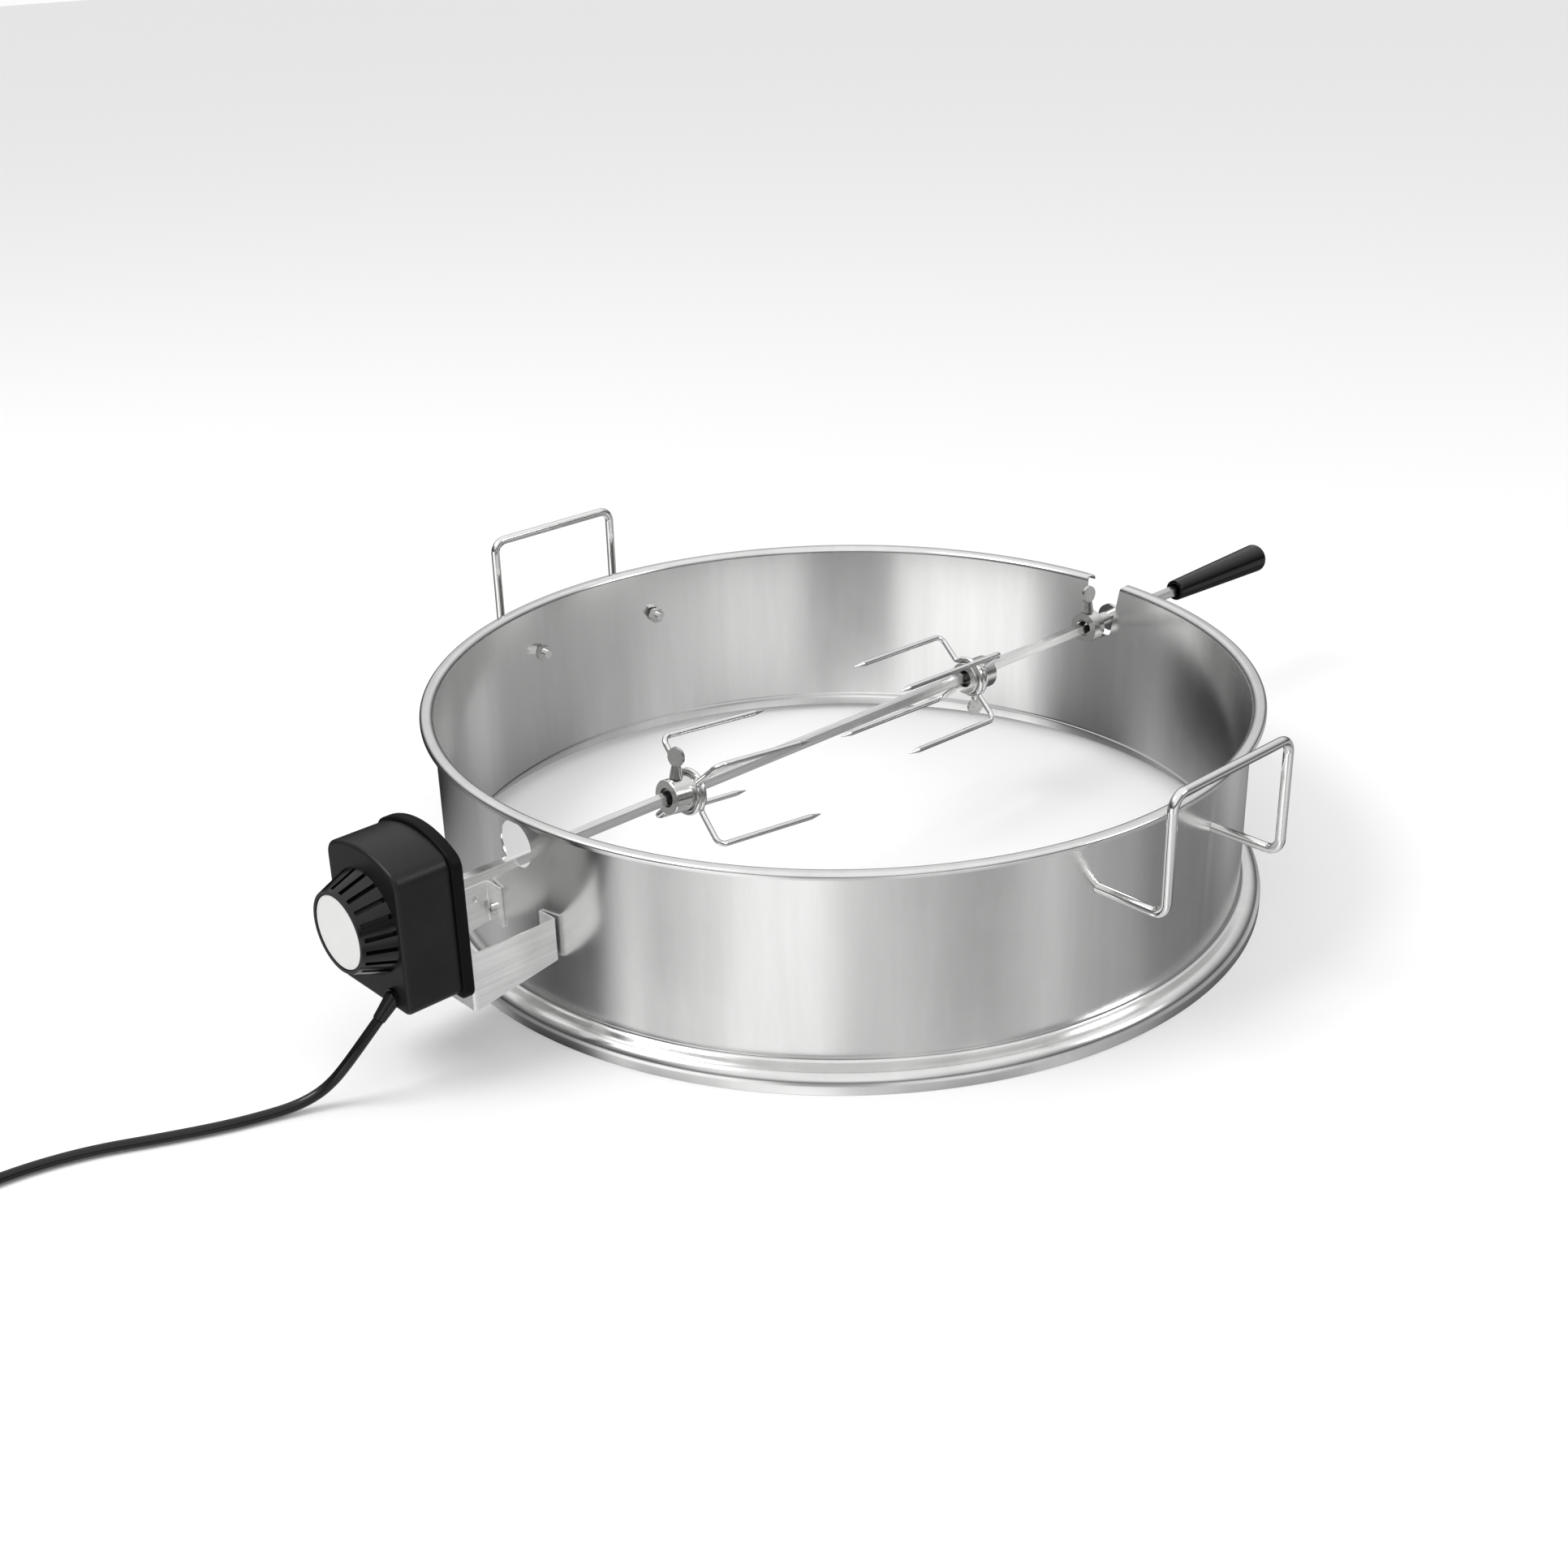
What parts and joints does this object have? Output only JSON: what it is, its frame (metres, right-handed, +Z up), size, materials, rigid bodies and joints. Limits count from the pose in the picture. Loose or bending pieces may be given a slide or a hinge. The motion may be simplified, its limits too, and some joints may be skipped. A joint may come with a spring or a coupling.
{
  "type": "rotisserie ring attachment",
  "caption": "Steel ring that sits on a round kettle grill and turns a square spit with sliding forks by a geared electric motor on an outside bracket; two lift handles.",
  "frame": {"origin": "centre of the ring on the plane that its skirt rests on", "axes": "+Z up along the ring's axis; +X along the spit, from the motor towards the spit's handle; +Y to the left of that"},
  "size_m": [1.2045, 0.6494, 0.1842],
  "materials": {
    "brushed_sheet": "brushed vertically, satin",
    "bright_rod": "bright drawn bar and wire",
    "turned_steel": "turned, satin",
    "plated_screws": "bright zinc-nickel plate",
    "case_gloss": "black, semi-gloss",
    "case_matte": "black, fine spark-eroded texture",
    "blank_label": "pale satin foil, no printing",
    "handle_gloss": "black, glossy",
    "sintered_bronze": "sintered bronze",
    "gear_steel": "machined",
    "gear_nylon": "natural nylon",
    "magnet_iron": "ferrite",
    "winding": "enamelled copper wire",
    "cord_rubber": "black PVC, glossy",
    "pin_brass": "bright brass"
  },
  "bodies": {
    "ring": {"ring_shell": "brushed_sheet", "left_lift_handle": "bright_rod", "right_lift_handle": "bright_rod", "handle_nuts": "plated_screws", "motor_bracket": "brushed_sheet", "bracket_screws": "plated_screws", "bracket_nuts": "plated_screws", "motor_mount_screws": "plated_screws", "motor_front_plate": "case_gloss", "motor_case": "case_matte", "case_screw_bosses": "case_matte", "case_screws": "plated_screws", "motor_vent_cap": "case_gloss", "rating_label": "blank_label", "spindle_bush": "sintered_bronze", "first_axle": "gear_steel", "second_axle": "gear_steel", "stator_coil": "winding", "stator_can": "gear_steel", "gearbox_plate": "gear_steel", "gearbox_pillars": "gear_steel", "cord_strain_relief": "cord_rubber", "power_cord": "cord_rubber", "power_cord_tail": "cord_rubber", "power_cord_coil": "cord_rubber", "plug_body": "cord_rubber", "plug_pins": "pin_brass"},
    "spit": {"spit_rod": "bright_rod", "spit_handle": "handle_gloss", "notch_bushing": "turned_steel", "drive_socket": "gear_steel", "output_gear": "gear_steel"},
    "near_fork": {"near_fork_collar": "turned_steel", "near_fork_wire_a": "bright_rod", "near_fork_wire_b": "bright_rod"},
    "far_fork": {"far_fork_collar": "turned_steel", "far_fork_wire_a": "bright_rod", "far_fork_wire_b": "bright_rod"},
    "near_fork_screw": {"near_fork_thumbscrew": "plated_screws"},
    "far_fork_screw": {"far_fork_thumbscrew": "plated_screws"},
    "bushing_screw": {"bushing_thumbscrew": "plated_screws"},
    "first_idler": {"first_idler_gear": "gear_nylon"},
    "second_idler": {"second_idler_gear": "gear_nylon"},
    "rotor": {"rotor_shaft": "gear_steel", "rotor_magnet": "magnet_iron"}
  },
  "joints": [
    {"name": "spit_spin", "type": "hinge", "parent": "ring", "child": "spit", "pos_m": [0, 0, 0.107], "axis": [1, 0, 0], "continuous": true},
    {"name": "second_idler_spin", "type": "hinge", "parent": "ring", "child": "second_idler", "pos_m": [-0.362, -0.01131, 0.08583], "axis": [1, 0, 0], "continuous": true},
    {"name": "first_idler_spin", "type": "hinge", "parent": "ring", "child": "first_idler", "pos_m": [-0.368, 0.01018, 0.08795], "axis": [1, 0, 0], "continuous": true},
    {"name": "rotor_spin", "type": "hinge", "parent": "ring", "child": "rotor", "pos_m": [-0.385, 0, 0.107], "axis": [1, 0, 0], "continuous": true},
    {"name": "near_fork_slide", "type": "slide", "parent": "spit", "child": "near_fork", "axis": [1, 0, 0], "range_m": [-0.095, 0.03]},
    {"name": "far_fork_slide", "type": "slide", "parent": "spit", "child": "far_fork", "axis": [1, 0, 0], "range_m": [-0.03, 0.095]},
    {"name": "near_fork_screw_turn", "type": "hinge", "parent": "near_fork", "child": "near_fork_screw", "pos_m": [-0.15053, -0.00017, 0.10667], "axis": [0.0913, 0.033, 0.9953], "range_deg": [0, 360]},
    {"name": "far_fork_screw_turn", "type": "hinge", "parent": "far_fork", "child": "far_fork_screw", "pos_m": [0.14201, -0.00025, 0.10512], "axis": [-0.0417, 0.051, -0.9978], "range_deg": [0, 360]},
    {"name": "bushing_screw_turn", "type": "hinge", "parent": "spit", "child": "bushing_screw", "pos_m": [0.2688, 0, 0.107], "axis": [0, 0, 1], "range_deg": [0, 360]}
  ],
  "couplings": [
    {"joint": "second_idler_spin", "follows": "spit_spin", "ratio": -3},
    {"joint": "first_idler_spin", "follows": "spit_spin", "ratio": 15},
    {"joint": "rotor_spin", "follows": "spit_spin", "ratio": -75}
  ]
}
